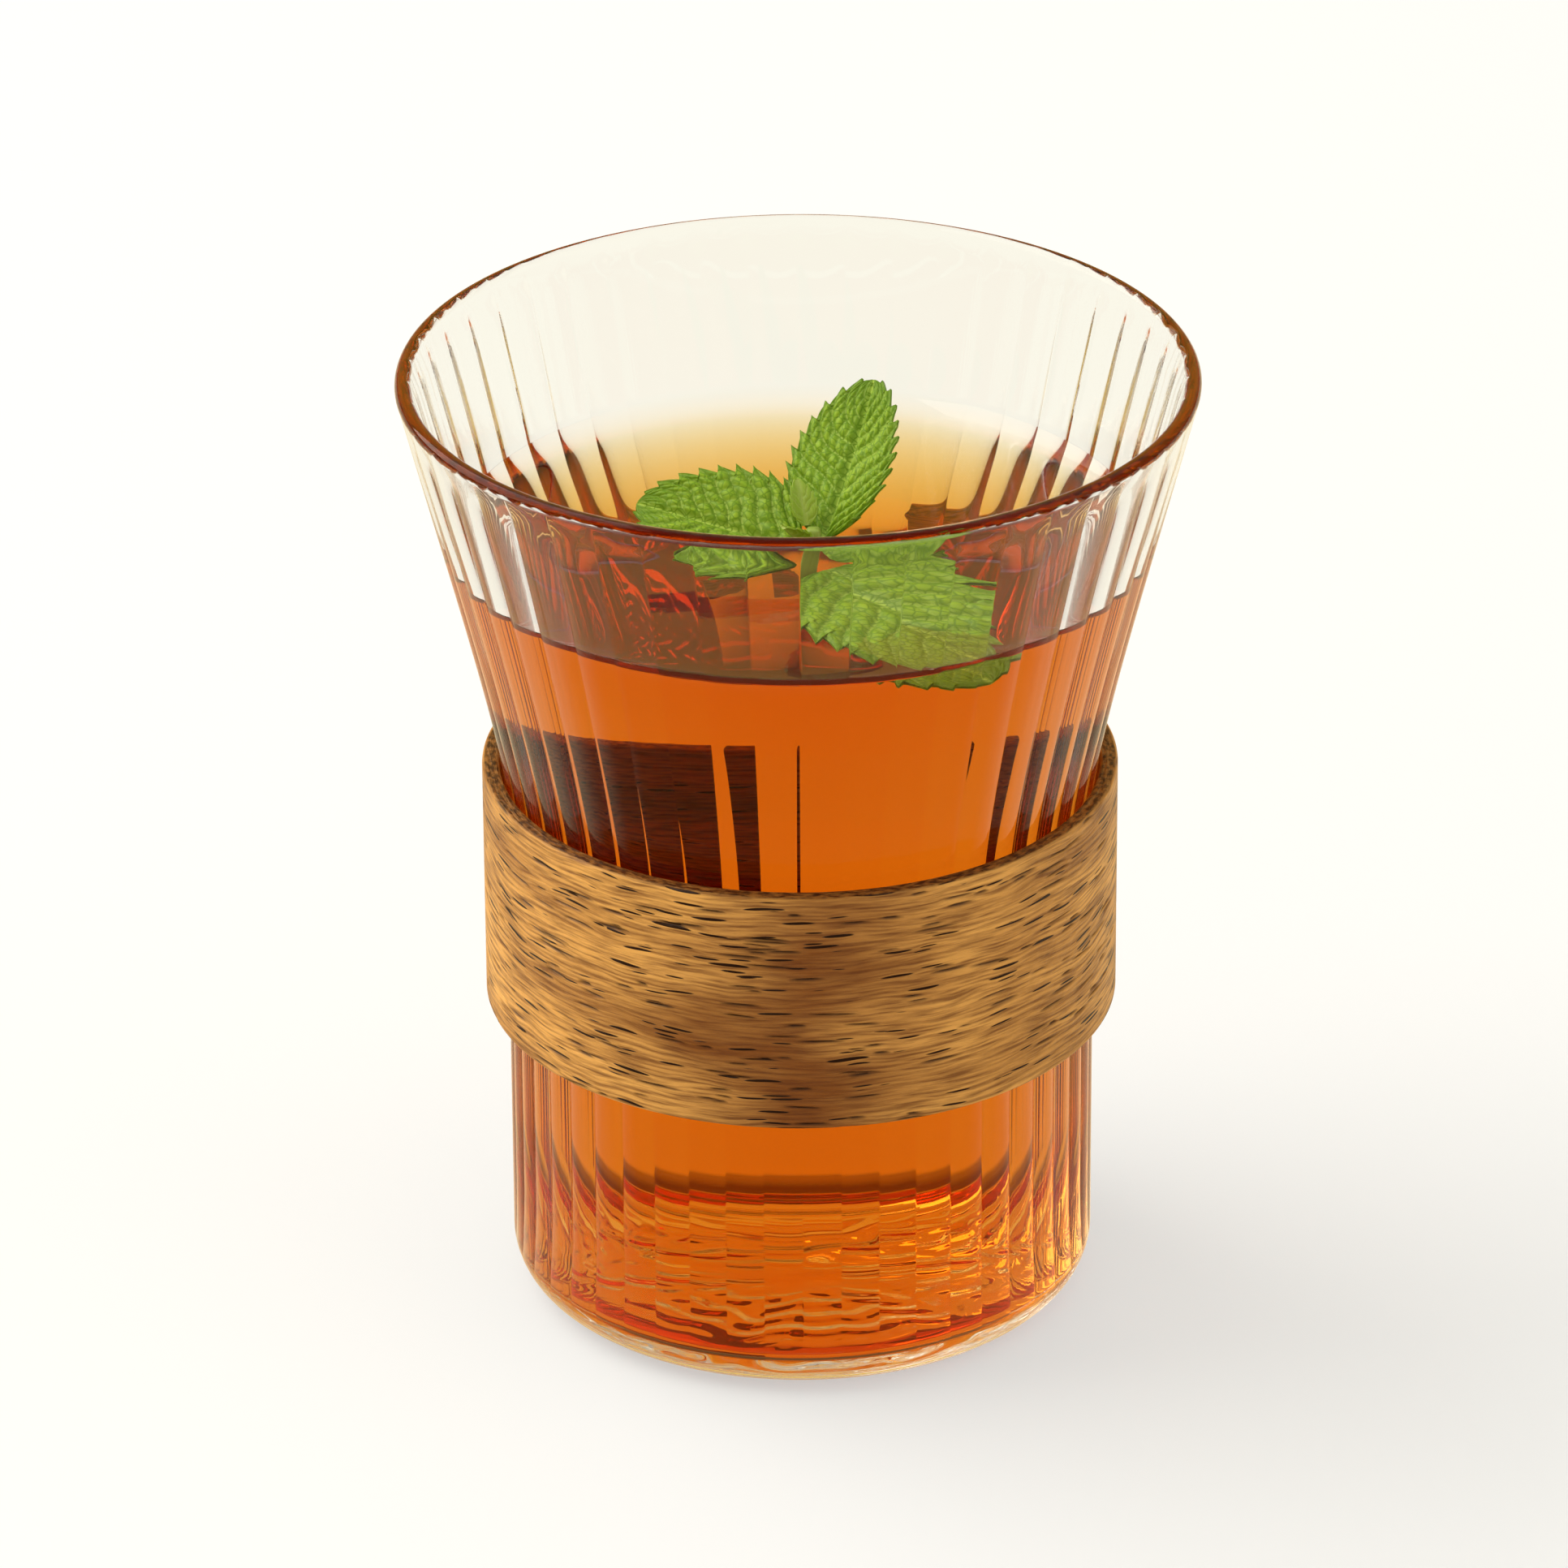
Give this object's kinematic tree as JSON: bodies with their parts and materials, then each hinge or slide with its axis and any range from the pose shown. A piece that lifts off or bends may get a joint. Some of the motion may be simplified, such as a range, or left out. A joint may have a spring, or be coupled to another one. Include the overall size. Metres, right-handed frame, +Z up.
{
  "type": "tea glass with wooden sleeve",
  "caption": "Clear ribbed glass tumbler with a flared mouth in an open bent-wood sleeve, filled with tea, with a sprig of mint floating on it.",
  "frame": {"origin": "on the table, under the middle of the glass's base", "axes": "+Z up along the axis of the glass, front towards -Y, the sleeve's opening at the back towards +Y"},
  "size_m": [0.086, 0.086, 0.1075],
  "materials": {
    "clear_glass": "clear, mould-blown and fire-polished",
    "tea": "clear amber liquid",
    "bent_wood": "oiled, open-pored",
    "mint_stem": "fresh plant stem",
    "mint_leaf": "fresh leaf, slightly waxy",
    "mint_bud": "fresh young leaf"
  },
  "bodies": {
    "glass": {"glass_cup": "clear_glass", "tea": "tea"},
    "sleeve": {"wood_sleeve": "bent_wood"},
    "sprig": {"mint_stem": "mint_stem", "mint_leaf_upright": "mint_leaf", "mint_leaf_left": "mint_leaf", "mint_leaf_right": "mint_leaf", "mint_bud_leaf_front": "mint_bud", "mint_bud_leaf_back": "mint_bud"}
  },
  "joints": [
    {"name": "sleeve_slide", "type": "slide", "parent": "glass", "child": "sleeve", "axis": [0, 0, -1], "range_m": [0, 0.034]},
    {"name": "sprig_lift", "type": "slide", "parent": "glass", "child": "sprig", "axis": [0, 0, 1], "range_m": [0, 0.05]}
  ]
}
